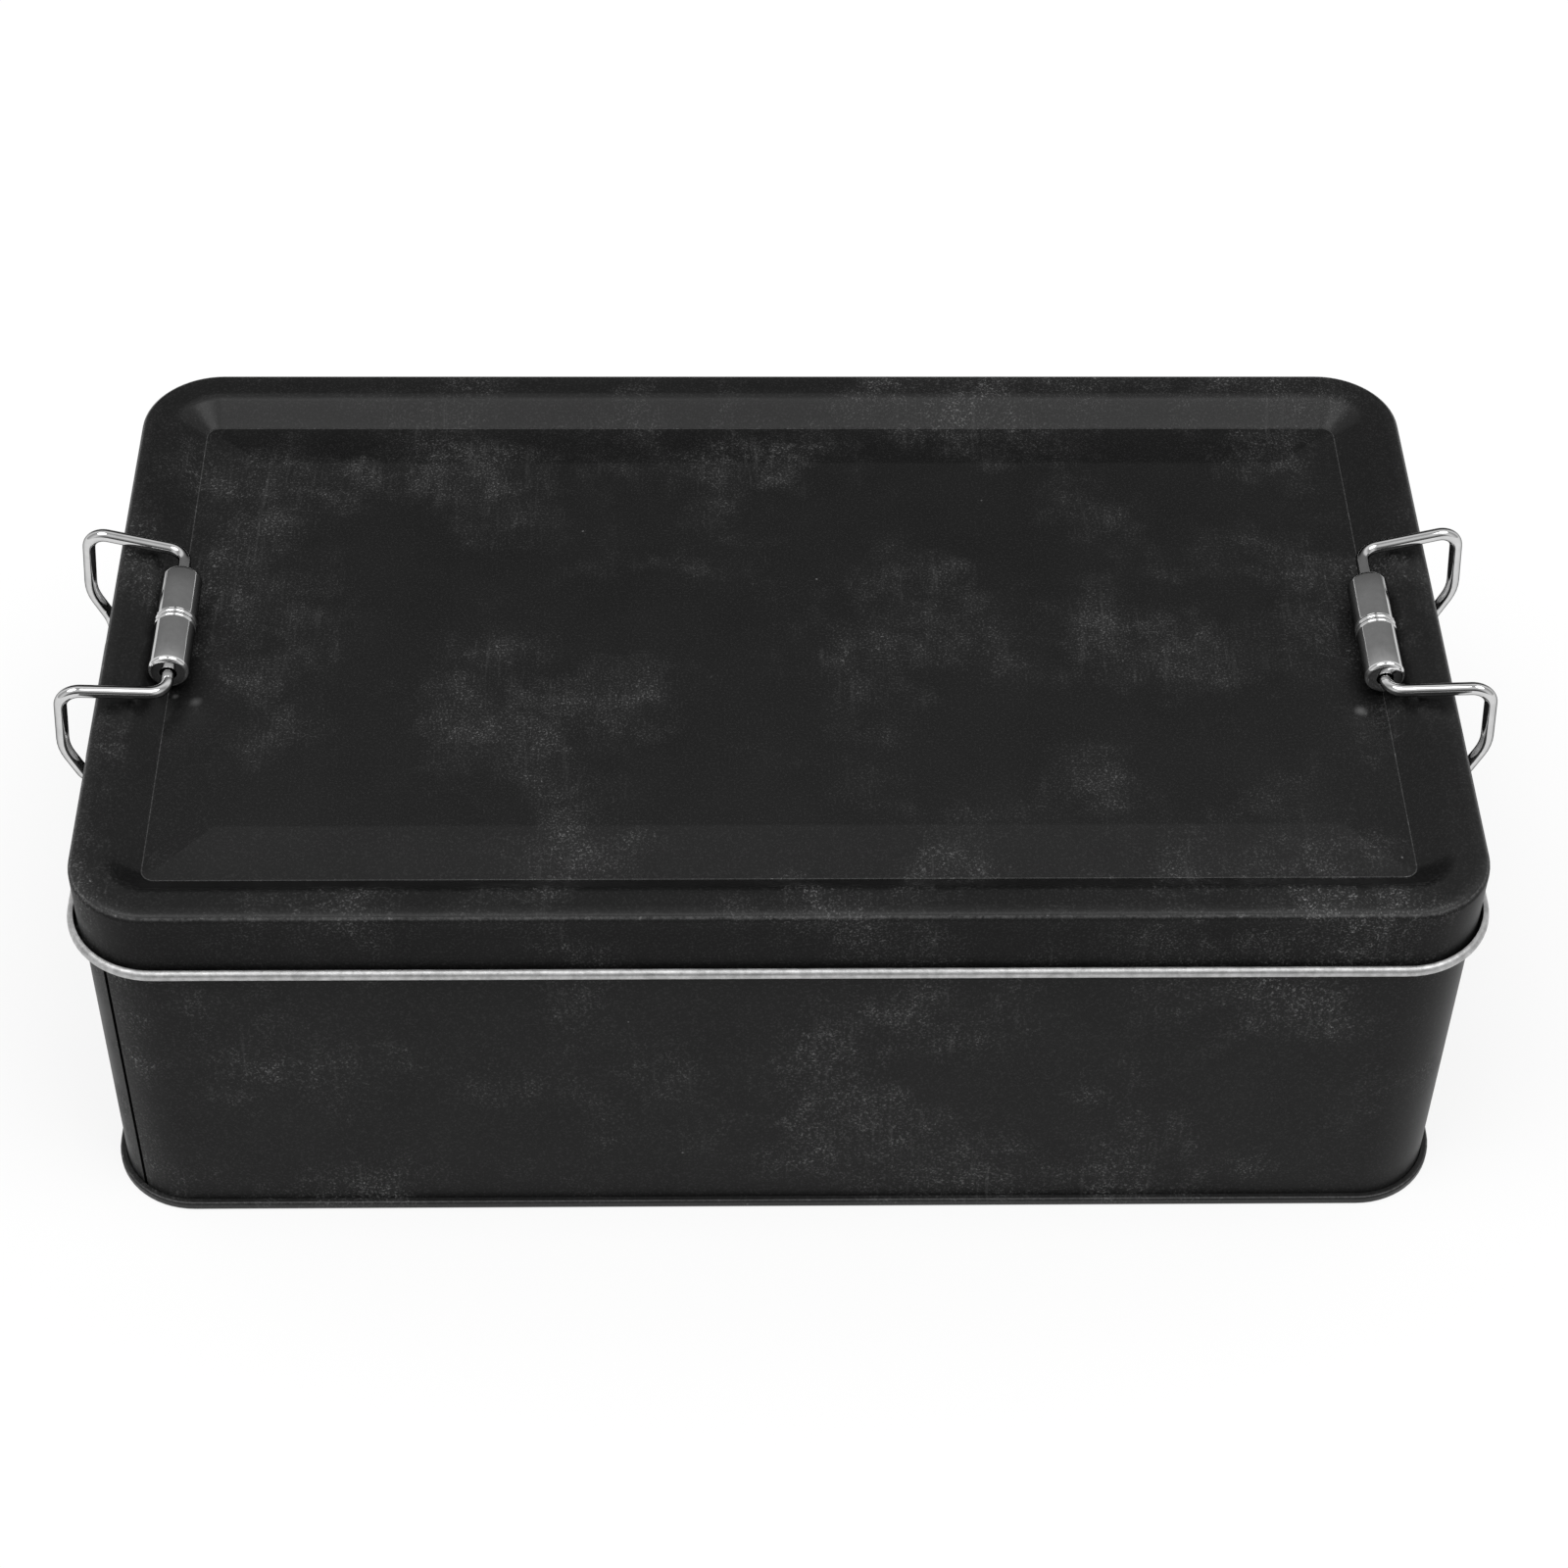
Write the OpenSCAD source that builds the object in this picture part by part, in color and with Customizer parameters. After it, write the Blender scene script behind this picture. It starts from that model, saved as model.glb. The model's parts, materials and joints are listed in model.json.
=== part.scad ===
// Metal lunch box: a folded and seamed sheet-steel box with a lift-off lid that two wire
// clasps hold down, one at each end. Millimetres, +Z up, origin at the middle of the base.

/* [Tin] */
// Width of the lid over its skirt, end to end
lid_w = 230; // [190:1:280]
// Depth of the lid over its skirt, front to back
lid_d = 134.8; // [110:0.2:180]
// Height from the table to the rim of the lid
tin_h = 75.65; // [60:0.05:110]
// Corner radius of the lid seen from above
corner_r = 13.8; // [12.5:0.1:20]
// Thickness of the steel sheet
sheet_t = 0.35; // [0.25:0.05:0.5]
// Gap between the inside of the lid and the wall of the box
lid_gap = 0.3; // [0.2:0.05:0.5]

/* [Lid] */
// Height of the lid's skirt, from the rim to the underside of its curled edge
skirt_h = 13.8; // [10:0.1:15]
// Diameter of the curl along the skirt's lower edge
curl_d = 2; // [1.8:0.1:2.4]
// How far round the curl goes
curl_turn = 290; // [240:1:300]
// Radius of the bend between the skirt and the rim
edge_r = 1.5; // [1:0.1:2.5]
// Width of the rim, from the skirt's face to where it starts to dip
rim_w = 5.5; // [4.5:0.1:6.5]
// Radius of the bend from the rim into the recess
brow_r = 3; // [2:0.1:4]
// Distance from the skirt's face to the foot of the recess wall
recess_inset = 11.35; // [11:0.05:12]
// Depth of the recess below the rim, at its foot
recess_depth = 3.67; // [3:0.01:4.2]
// Width of the bevel round the raised panel in the recess
bevel_w = 11; // [6:0.5:20]
// Height of the raised panel above the foot of the recess
panel_rise = 1.1; // [0.5:0.1:1.8]

/* [Box] */
// Diameter of the inward curl along the wall's upper edge
hem_d = 2.2; // [1.8:0.1:2.6]
// How far round that curl goes
hem_turn = 280; // [200:1:300]
// Where the wall's lock seam lies on its corner, from the end (0) to the front (90)
seam_angle = 48; // [25:1:70]
// Width of the folded seam inside the wall
seam_w = 4; // [3:0.1:5]
// Thickness of the fold inside the wall
seam_t = 0.5; // [0.3:0.05:0.8]
// Width of the groove that the seam leaves outside
groove_w = 0.5; // [0.3:0.05:0.8]
// Depth of that groove
groove_depth = 0.15; // [0.1:0.01:0.2]

/* [Base] */
// Height of the rolled seam round the base
base_seam_h = 1.8; // [1.7:0.05:2.4]
// How far the wall's foot turns outward inside the base seam
foot_w = 0.85; // [0.6:0.05:1.2]
// Gap between the folded layers in the base seam
fold_gap = 0.05; // [0.03:0.01:0.08]
// Height of the base panel above the table
base_lift = 1.6; // [1.2:0.1:3]
// Radius of the base seam's lower outer edge
base_edge_r = 0.5; // [0.4:0.05:0.6]

/* [Clasp wire] */
// Diameter of the spring wire
wire_d = 2.2; // [1.8:0.1:2.4]
// Distance of the pivot below the rim of the lid
pivot_drop = 18.55; // [17:0.05:20]
// Distance of the pivot from the wall of the box
pivot_out = 3.35; // [3.3:0.05:4.5]
// Half the distance between the arms at the roller
arm_half = 17.6; // [16.5:0.1:20]
// Half the distance between the shoulders of the bail
shoulder_half = 19.7; // [19:0.1:22]
// Half the distance between the legs at the pivot
leg_half = 19.4; // [18.5:0.1:22]
// Height of the shoulders above the rim
shoulder_rise = 3.65; // [3:0.05:6]
// Distance of the shoulders outside the pivot
shoulder_out = 2.4; // [1.5:0.05:3.5]
// Height of the knees of the legs above the pivot
knee_up = 8.56; // [7:0.01:10]
// Distance of the knees outside the pivot
knee_out = 3.6; // [2.5:0.05:4.2]
// Bend radius of the wire at the arms, shoulders and pivot, along its middle
bend_r = 3.2; // [1.6:0.1:3.4]
// Bend radius of the wire at the knees
knee_r = 9; // [3:0.5:10]
// Half the gap between the wire's two ends inside the roller
wire_end = 3; // [1:0.5:5]

/* [Clasp bracket] */
// Width of the bracket, front to back
bracket_w = 28; // [24:1:32]
// Height of the bracket's flat plate
plate_h = 12; // [10:0.5:16]
// Thickness of the bracket's sheet
bracket_t = 0.5; // [0.4:0.05:0.8]
// Radius of the plate's lower corners
plate_r = 2.5; // [1:0.5:4]
// Radial play between the wire and the bracket or roller
wire_play = 0.06; // [0.03:0.01:0.09]
// How far the bracket's knuckle wraps the wire
knuckle_turn = 290; // [270:1:310]
// Distance between the two rivets
rivet_pitch = 18; // [14:0.5:20]
// Diameter of the rivets' shanks
rivet_d = 2.4; // [2:0.1:3]
// Diameter of the rivets' domed heads
rivet_head_d = 4.8; // [4:0.1:5.4]
// Height of the rivets' domed heads
rivet_head_h = 1; // [0.7:0.05:1.4]
// Diameter of the rivets' set ends inside the box
rivet_tail_d = 4; // [3.6:0.1:4.8]
// Height of the rivets' set ends
rivet_tail_h = 0.6; // [0.4:0.05:0.9]
// Gap round a rivet's shank
rivet_play = 0.05; // [0.02:0.01:0.1]

/* [Clasp roller] */
// Diameter of the roller
roller_d = 7; // [6.4:0.1:7.2]
// Length of the roller
roller_l = 23.6; // [20:0.1:26]
// How far up the recess wall the roller rests
seat_up = 2.3; // [1.9:0.05:2.4]
// Gap between the roller and the recess wall
seat_gap = 0.5; // [0.3:0.05:0.6]
// Wall thickness of the two sleeves
sleeve_t = 0.4; // [0.3:0.05:0.6]
// Radius of the sleeves' rounded outer ends
sleeve_r = 0.9; // [0.6:0.1:1.2]
// Diameter of the hole in a sleeve's end
sleeve_hole_d = 2.8; // [2.8:0.1:3.6]
// How far the lips where the sleeves meet stand out
lip_out = 0.1; // [0.05:0.01:0.15]
// Width of each lip
lip_w = 1; // [0.8:0.1:1.4]
// Length of the core that joins the sleeves
core_l = 15; // [12:0.5:18]
// Radial gap between the core and the sleeves
core_gap = 0.02; // [0.01:0.01:0.05]
// How far the left roller lies towards the front on its wire
left_shift = 1.1; // [0:0.1:3]
// How far the right roller lies towards the front on its wire
right_shift = 3; // [0:0.1:3]

/* [Hidden] */
$fn = 64;

// A hair of overlap that makes cuts run clean through
eps = 0.01;
// How far the balls at the ends of the wire's bends stand out of it
swell = 0.01;
paint = [0.15, 0.15, 0.15];
tinplate = [0.75, 0.75, 0.74];
chrome = [0.85, 0.86, 0.88];

// Box wall, from the lid's inside
wall_step = sheet_t + lid_gap;
box_w = lid_w - 2 * wall_step;
box_d = lid_d - 2 * wall_step;
box_r = corner_r - wall_step;
box_top = tin_h - sheet_t - lid_gap;
foot_z = sheet_t + fold_gap;

// Lid section: distances from the corner's centre, as all swept sections use
brow_x = corner_r - rim_w;
crease_x = corner_r - recess_inset;
crease_z = tin_h - recess_depth;
// The recess wall's slope, from the crease to a tangent on the brow
slope_run = brow_x - crease_x;
brow_drop = recess_depth - brow_r;
slope = atan2(brow_drop, slope_run) + asin(brow_r / norm([slope_run, brow_drop]));
slope_l = sqrt(slope_run * slope_run + brow_drop * brow_drop - brow_r * brow_r);
// How far the panel's sheet runs on into the recess wall's sheet, and its drop there
crease_lap = sheet_t / 2;
lap_drop = crease_lap * panel_rise / bevel_w;
curl_r = curl_d / 2;
curl_z = tin_h - skirt_h + curl_r;

// Pivot, roller axis and corners of the right-hand bail
wire_r = wire_d / 2;
pivot_x = box_w / 2 + pivot_out;
pivot_z = tin_h - pivot_drop;
roller_r = roller_d / 2;
seat_r = roller_r + seat_gap;
roller_x = lid_w / 2 - recess_inset + seat_up * cos(slope) - seat_r * sin(slope);
roller_z = crease_z + seat_up * sin(slope) + seat_r * cos(slope);
shoulder = [pivot_x + shoulder_out, shoulder_half, tin_h + shoulder_rise];
knee = [pivot_x + knee_out, leg_half, pivot_z + knee_up];
bore_r = wire_r + wire_play;
knuckle_r = bore_r + bracket_t;
plate_top = pivot_z - 2 * knuckle_r - bracket_t;
plate_foot = plate_top - plate_h;
rivet_z = plate_top - plate_h / 2;

// ---- Sections and sweeps ----

// Pie slice of a disc from angle a0 on through the angle turn
module slice(radius, a0, turn) {
    reach = radius * 2;
    steps = 8;
    polygon([[0, 0], for (i = [0:steps]) reach * [cos(a0 + turn * i / steps), sin(a0 + turn * i / steps)]]);
}

// Bent strip of sheet: part of a ring whose outer radius is given
module bend(radius, thick, a0, turn) {
    difference() {
        circle(radius);
        circle(radius - thick);
        slice(radius, a0 + turn, 360 - turn);
    }
}

// Sweeps a section round a rectangle with round corners; its x runs out from a corner's centre
module around(w, d, r) {
    middle = [w / 2 - r, d / 2 - r];
    for (k = [0:3]) {
        sx = (k == 0 || k == 3) ? 1 : -1;
        sy = k < 2 ? 1 : -1;
        run = 2 * (k % 2 == 0 ? middle.y : middle.x);
        translate([sx * middle.x, sy * middle.y, 0]) rotate(90 * k) {
            rotate_extrude(angle = 90) children();
            rotate([90, 0, 0]) linear_extrude(run) children();
        }
    }
}

// Rectangle with round corners
module plan(w, d, r) {
    square([w - 2 * r, d], center = true);
    square([w, d - 2 * r], center = true);
    for (x = [-1, 1], y = [-1, 1])
        translate([x * (w / 2 - r), y * (d / 2 - r)]) circle(r);
}

// Builds its children at the right end, or mirrored at the left
module at_end(side) {
    mirror([side < 0 ? 1 : 0, 0, 0]) children();
}

// ---- Lid ----

module lid_section() {
    // Skirt
    translate([corner_r - sheet_t, curl_z]) square([sheet_t, tin_h - edge_r - curl_z]);
    // Curl that hides the raw edge, turned outward
    translate([corner_r - sheet_t + curl_r, curl_z]) bend(curl_r, sheet_t, 180, curl_turn);
    // Bend over to the rim, the rim and the bend down into the recess
    translate([corner_r - edge_r, tin_h - edge_r]) bend(edge_r, sheet_t, 0, 90);
    translate([brow_x, tin_h - sheet_t]) square([rim_w - edge_r, sheet_t]);
    translate([brow_x, tin_h - brow_r]) bend(brow_r, sheet_t, 90, slope);
    // Sloping wall of the recess, with a pointed end that reaches into the bend above it
    heel = -sheet_t * tan(slope / 2);
    translate([crease_x, crease_z]) rotate(slope) polygon([
        [heel, -sheet_t],
        [slope_l, -sheet_t],
        [slope_l + sheet_t / 2, -sheet_t / 2],
        [slope_l, 0],
        [heel, 0]
    ]);
}

// Solid under a hipped surface: a flat panel with a bevel on all four sides, which runs on past its foot
module hipped(w, d, top, lap) {
    foot = top - lap * panel_rise / bevel_w;
    module side_view(width) {
        half = width / 2;
        polygon([
            [-half - lap, foot - 2 * sheet_t],
            [half + lap, foot - 2 * sheet_t],
            [half + lap, foot],
            [half - bevel_w, top + panel_rise],
            [bevel_w - half, top + panel_rise],
            [-half - lap, foot]
        ]);
    }
    intersection() {
        rotate([90, 0, 0]) linear_extrude(d + 2 * lap, center = true) side_view(w);
        rotate([90, 0, 90]) linear_extrude(w + 2 * lap, center = true) side_view(d);
    }
}

module lid_panel() {
    panel_w = lid_w - 2 * recess_inset;
    panel_d = lid_d - 2 * recess_inset;
    bottom = crease_z - lap_drop - sheet_t;
    top = crease_z + panel_rise + eps;
    difference() {
        intersection() {
            hipped(panel_w, panel_d, crease_z, 2 * crease_lap);
            translate([0, 0, bottom]) linear_extrude(top - bottom)
                plan(panel_w + 2 * crease_lap, panel_d + 2 * crease_lap, crease_x + crease_lap);
        }
        translate([0, 0, -sheet_t]) hipped(panel_w, panel_d, crease_z, 3 * crease_lap);
    }
}

module lid() {
    color(paint) {
        around(lid_w, lid_d, corner_r) lid_section();
        lid_panel();
    }
}

// ---- Box ----

module wall_section() {
    straight_top = box_top - hem_d / 2;
    translate([box_r - sheet_t, foot_z]) square([sheet_t, straight_top - foot_z]);
    // Upper edge rolled inward
    translate([box_r - hem_d / 2, straight_top]) bend(hem_d / 2, sheet_t, 0, hem_turn);
    // Foot turned outward into the base seam
    translate([box_r - sheet_t, foot_z]) square([sheet_t + foot_w, sheet_t]);
}

// A strip on the front left corner, of a section given from the corner's centre
module corner_strip(width) {
    turn = width / box_r * 180 / PI;
    translate([box_r - box_w / 2, box_r - box_d / 2, 0])
        rotate(180 + seam_angle - turn / 2) rotate_extrude(angle = turn) children();
}

module body_wall() {
    seam_low = base_lift + sheet_t + fold_gap;
    seam_high = box_top - hem_d - fold_gap;
    color(paint) difference() {
        union() {
            around(box_w, box_d, box_r) wall_section();
            // Fold of the lock seam, inside the wall
            corner_strip(seam_w)
                translate([box_r - sheet_t - seam_t, seam_low]) square([seam_t + sheet_t / 2, seam_high - seam_low]);
        }
        // Line that the seam leaves outside
        corner_strip(groove_w)
            translate([box_r - groove_depth, base_seam_h]) square([groove_depth + eps, seam_high - base_seam_h]);
        for (side = [-1, 1]) at_end(side) rivet_holes();
    }
}

// Rolled seam that closes the base panel round the wall's foot
module base_section() {
    inner = box_r - 2 * sheet_t - fold_gap;
    outer = box_r + foot_w + fold_gap + sheet_t;
    // Floor's turned-down edge
    translate([inner, sheet_t]) square([sheet_t, base_lift]);
    translate([inner, 0]) square([outer - base_edge_r - inner, sheet_t]);
    translate([outer - base_edge_r, base_edge_r]) bend(base_edge_r, sheet_t, 270, 90);
    translate([outer - sheet_t, base_edge_r]) square([sheet_t, base_seam_h - 2 * base_edge_r]);
    translate([outer - base_edge_r, base_seam_h - base_edge_r]) bend(base_edge_r, sheet_t, 0, 90);
    translate([box_r + fold_gap, base_seam_h - sheet_t])
        square([outer - base_edge_r - box_r - fold_gap, sheet_t]);
}

module base_panel() {
    // The floor's sheet runs on to the middle of its turned-down edge
    inset = 1.5 * sheet_t + fold_gap;
    color(paint) {
        around(box_w, box_d, box_r) base_section();
        translate([0, 0, base_lift]) linear_extrude(sheet_t)
            plan(box_w - 2 * inset, box_d - 2 * inset, box_r - inset);
    }
}

// ---- Clasps ----

module rivet_places() {
    for (y = [-1, 1]) translate([box_w / 2, y * rivet_pitch / 2, rivet_z]) rotate([0, 90, 0]) children();
}

module rivet_holes() {
    deep = sheet_t + bracket_t + 2 * eps;
    rivet_places() translate([0, 0, -sheet_t - eps]) cylinder(h = deep, r = rivet_d / 2 + rivet_play);
}

// Side view of the bracket's strap: plate, joggle out and knuckle round the wire
module strap_section() {
    joggle = pivot_out - knuckle_r;
    neck_x = pivot_x - knuckle_r;
    neck_z = pivot_z - knuckle_r;
    plate_x = box_w / 2;
    polygon([
        [plate_x, plate_top - eps],
        [plate_x, plate_top],
        [neck_x, plate_top + joggle],
        [neck_x, pivot_z],
        [neck_x + bracket_t, pivot_z],
        [neck_x + bracket_t, plate_top + joggle - bracket_t * tan(22.5)],
        [plate_x + bracket_t, plate_top - bracket_t * tan(22.5)],
        [plate_x + bracket_t, plate_top - bracket_t]
    ]);
    translate([pivot_x, pivot_z]) bend(knuckle_r, bracket_t, 180 - knuckle_turn, knuckle_turn);
}

module bracket(side) {
    color(chrome) at_end(side) difference() {
        union() {
            rotate([90, 0, 0]) linear_extrude(bracket_w, center = true) strap_section();
            translate([box_w / 2, 0, 0]) rotate([90, 0, 90]) linear_extrude(bracket_t) plate_outline();
        }
        rivet_holes();
    }
}

// Plate seen from the end of the box, with round lower corners
module plate_outline() {
    translate([-bracket_w / 2, plate_foot + plate_r]) square([bracket_w, plate_h - plate_r]);
    translate([plate_r - bracket_w / 2, plate_foot]) square([bracket_w - 2 * plate_r, plate_h]);
    for (y = [-1, 1]) translate([y * (bracket_w / 2 - plate_r), plate_foot + plate_r]) circle(plate_r);
}

module bracket_rivets(side) {
    dome_r = (rivet_head_d * rivet_head_d / 4 + rivet_head_h * rivet_head_h) / (2 * rivet_head_h);
    color(chrome) at_end(side) rivet_places() {
        translate([0, 0, -sheet_t]) cylinder(h = sheet_t + bracket_t, r = rivet_d / 2);
        translate([0, 0, -sheet_t - rivet_tail_h]) cylinder(h = rivet_tail_h, r = rivet_tail_d / 2);
        translate([0, 0, bracket_t]) intersection() {
            cylinder(h = rivet_head_h, r = rivet_head_d / 2);
            translate([0, 0, rivet_head_h - dome_r]) sphere(dome_r);
        }
    }
}

function unit(v) = v / norm(v);
function turn_between(a, b) = acos(a * b);
// Angle from direction a to direction b, seen along the wire's own direction
function twist_between(a, b, along) = atan2(cross(a, b) * along, a * b);

// One straight feed and one bend after another, as the wire is formed; z is the wire's direction.
// A ball a hair thicker than the wire joins each feed to its bend.
module wire_from(step, feeds, twists, turns, radii) {
    cylinder(h = feeds[step], r = wire_r);
    if (step < len(turns)) {
        turn = turns[step];
        radius = radii[step];
        translate([0, 0, feeds[step]]) rotate([0, 0, twists[step]]) {
            sphere(wire_r + swell);
            translate([radius, 0, 0]) rotate([90, 0, 180])
                rotate_extrude(angle = turn) translate([radius, 0]) circle(wire_r);
            translate([radius * (1 - cos(turn)), 0, radius * sin(turn)]) rotate([0, turn, 0]) {
                sphere(wire_r + swell);
                wire_from(step + 1, feeds, twists, turns, radii);
            }
        }
    }
}

// Wire along a list of corners, each bent to its own radius, starting along +Y
module wire(points, radii) {
    last = len(radii) - 1;
    ways = [for (i = [0:last + 1]) unit(points[i + 1] - points[i])];
    turns = [for (i = [0:last]) turn_between(ways[i], ways[i + 1])];
    cuts = [0, for (i = [0:last]) radii[i] * tan(turns[i] / 2), 0];
    feeds = [for (i = [0:last + 1]) norm(points[i + 1] - points[i]) - cuts[i] - cuts[i + 1]];
    // Which way each bend goes, square to the wire before it and after it
    before = [for (i = [0:last]) unit(ways[i + 1] - ways[i] * (ways[i] * ways[i + 1]))];
    after = [for (i = [0:last]) unit(ways[i + 1] * (ways[i] * ways[i + 1]) - ways[i])];
    twists = [for (i = [0:last]) twist_between(i == 0 ? [1, 0, 0] : after[i - 1], before[i], ways[i])];
    translate(points[0]) rotate([-90, 0, 0]) wire_from(0, feeds, twists, turns, radii);
}

module bail(side) {
    half = [
        [roller_x, wire_end, roller_z],
        [roller_x, arm_half, roller_z],
        shoulder,
        knee,
        [pivot_x, leg_half, pivot_z]
    ];
    rear_to_front = [
        for (p = half) p,
        for (i = [4:-1:0]) [half[i].x, -half[i].y, half[i].z]
    ];
    bends = [bend_r, bend_r, knee_r, bend_r];
    color(chrome) at_end(side) wire(rear_to_front, [for (r = bends) r, for (i = [3:-1:0]) bends[i]]);
}

// Half section of the front sleeve, from the roller's middle (y = 0) to its end
module sleeve_section() {
    half = roller_l / 2;
    hole_r = sleeve_hole_d / 2;
    lip_r = lip_w / 2;
    inside = roller_r - sleeve_t;
    translate([inside, lip_r]) square([sleeve_t, half - sleeve_r - lip_r]);
    translate([roller_r - sleeve_r, half - sleeve_r]) bend(sleeve_r, sleeve_t, 0, 90);
    translate([hole_r, half - sleeve_t]) square([roller_r - sleeve_r - hole_r, sleeve_t]);
    // Rolled lip beside the other sleeve
    intersection() {
        translate([roller_r + lip_out - lip_r, lip_r]) circle(lip_r);
        translate([inside, 0]) square([sleeve_t + 2 * lip_out, lip_w]);
    }
}

// Puts a piece drawn about the Z axis onto the roller's axis; front is -1, rear is 1
module on_roller(side, shift, way) {
    at_end(side) translate([roller_x, -shift, roller_z]) rotate([-90 * way, 0, 0]) children();
}

module sleeve(side, shift, way) {
    color(chrome) on_roller(side, shift, way) rotate_extrude() sleeve_section();
}

module roller_core(side, shift) {
    color(tinplate) on_roller(side, shift, 1) difference() {
        cylinder(h = core_l, r = roller_r - sleeve_t - core_gap, center = true);
        cylinder(h = core_l + 2 * eps, r = bore_r, center = true);
    }
}

body_wall();
base_panel();
lid();
bracket(-1);  // bracket_left
bracket(1);  // bracket_right
bracket_rivets(-1);  // bracket_rivets_left
bracket_rivets(1);  // bracket_rivets_right
bail(-1);  // bail_left
bail(1);  // bail_right
sleeve(-1, left_shift, -1);  // roller_front_sleeve_left
sleeve(1, right_shift, -1);  // roller_front_sleeve_right
sleeve(-1, left_shift, 1);  // roller_rear_sleeve_left
sleeve(1, right_shift, 1);  // roller_rear_sleeve_right
roller_core(-1, left_shift);  // roller_core_left
roller_core(1, right_shift);  // roller_core_right
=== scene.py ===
"""Metal lunch box: the looks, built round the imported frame. Metres, +Z up, front towards -Y."""
import json
import math

import bmesh
import bpy
from mathutils import Matrix, Vector


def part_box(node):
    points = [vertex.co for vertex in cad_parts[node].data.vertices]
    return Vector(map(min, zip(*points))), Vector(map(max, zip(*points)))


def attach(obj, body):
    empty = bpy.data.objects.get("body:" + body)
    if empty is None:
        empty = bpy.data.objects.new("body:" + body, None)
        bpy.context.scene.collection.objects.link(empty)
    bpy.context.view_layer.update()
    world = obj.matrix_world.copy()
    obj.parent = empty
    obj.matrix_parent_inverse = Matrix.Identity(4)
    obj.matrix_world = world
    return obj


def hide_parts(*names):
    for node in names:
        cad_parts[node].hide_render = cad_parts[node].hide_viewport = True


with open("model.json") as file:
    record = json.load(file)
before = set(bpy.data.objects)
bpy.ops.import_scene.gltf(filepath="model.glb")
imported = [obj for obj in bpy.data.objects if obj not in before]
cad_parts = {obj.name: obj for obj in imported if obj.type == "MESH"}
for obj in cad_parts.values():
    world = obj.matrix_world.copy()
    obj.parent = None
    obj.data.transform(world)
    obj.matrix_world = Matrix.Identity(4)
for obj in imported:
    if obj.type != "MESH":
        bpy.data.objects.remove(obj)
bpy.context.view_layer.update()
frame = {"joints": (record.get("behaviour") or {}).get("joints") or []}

MM = 0.001

# ---- Sizes shared with the solids, in metres and degrees ----
SHEET = 0.35 * MM
# Lid
LID_CORNER = 13.8 * MM
LID_GAP = 0.3 * MM
CURL_R = 1.0 * MM
EDGE_R = 1.5 * MM
RIM_W = 5.5 * MM
BROW_R = 3.0 * MM
RECESS_INSET = 11.35 * MM
RECESS_DEPTH = 3.67 * MM
BEVEL_W = 11.0 * MM
PANEL_RISE = 1.1 * MM
# Wall, its rolled upper edge and its lock seam
HEM_R = 1.1 * MM
HEM_TURN = 280
SEAM_ANGLE = 48
SEAM_W = 4.0 * MM
SEAM_T = 0.5 * MM
# Base seam
BASE_SEAM_H = 1.8 * MM
FOOT_W = 0.85 * MM
FOLD_GAP = 0.05 * MM
BASE_LIFT = 1.6 * MM
BASE_EDGE_R = 0.5 * MM
# Wire
WIRE_R = 1.1 * MM
WIRE_PLAY = 0.06 * MM
BEND_R = 3.2 * MM
KNEE_R = 9.0 * MM
WIRE_END = 3.0 * MM
ARM_HALF = 17.6 * MM
SHOULDER_HALF = 19.7 * MM
LEG_HALF = 19.4 * MM
SHOULDER_RISE = 3.65 * MM
SHOULDER_OUT = 2.4 * MM
KNEE_UP = 8.56 * MM
KNEE_OUT = 3.6 * MM
# Roller
ROLLER_R = 3.5 * MM
SLEEVE_T = 0.4 * MM
SLEEVE_R = 0.9 * MM
SLEEVE_HOLE_R = 1.4 * MM
LIP_OUT = 0.1 * MM
LIP_W = 1.0 * MM
CORE_GAP = 0.02 * MM
CORE_R = ROLLER_R - SLEEVE_T - CORE_GAP
BORE_R = WIRE_R + WIRE_PLAY
# Bracket and rivets
BRACKET_W = 28.0 * MM
BRACKET_T = 0.5 * MM
PLATE_R = 2.5 * MM
KNUCKLE_TURN = 290
RIVET_PITCH = 18.0 * MM
RIVET_R = 1.2 * MM
RIVET_HEAD_R = 2.4 * MM
RIVET_HEAD_H = 1.0 * MM
RIVET_TAIL_R = 2.0 * MM
RIVET_TAIL_H = 0.6 * MM

# ---- Sizes that only the looks have ----
# Rounding of the lid's crease, of the top of its bevels and of the wall's foot
CREASE_R = 0.35 * MM
PANEL_EDGE_R = 6.0 * MM
FOOT_R = 0.45 * MM
# How far the curl turns, so that its end stays clear of the skirt
CURL_SHOWN = 272
# Width of the rubbed line along the crease
RUBBED_W = 0.15 * MM
# Groove of the lock seam, and how far the folded strip reaches into the sheet
GROOVE_W = 0.8 * MM
GROOVE_DEEP = 0.32 * MM
SEAM_BITE = 0.0105 * MM
# Gap between the wall and the end of the base's rolled edge, past the fold's own gap
BASE_LIP_GAP = 0.1 * MM
# Small roundings of the hardware
SLEEVE_HOLE_EASE = 0.2 * MM
BRACKET_EDGE_R = 0.12 * MM
RIVET_TAIL_EASE = 0.2 * MM
# Share of a rod's radius by which its ends are eased, and the share of that in the first of two steps
END_EASE = 0.3
END_STEP = 0.3

# ---- How finely the meshes are cut ----
CORNER_STEPS = 16
SIDE_STEPS = (24, 14)
WIRE_SIDES = 40
SLEEVE_SIDES = 96
CORE_SIDES = 64
RIVET_SIDES = 40
BRACKET_STEPS = 24
LEAST_CORNER_R = 0.05 * MM
MERGE = 1e-7

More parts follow.
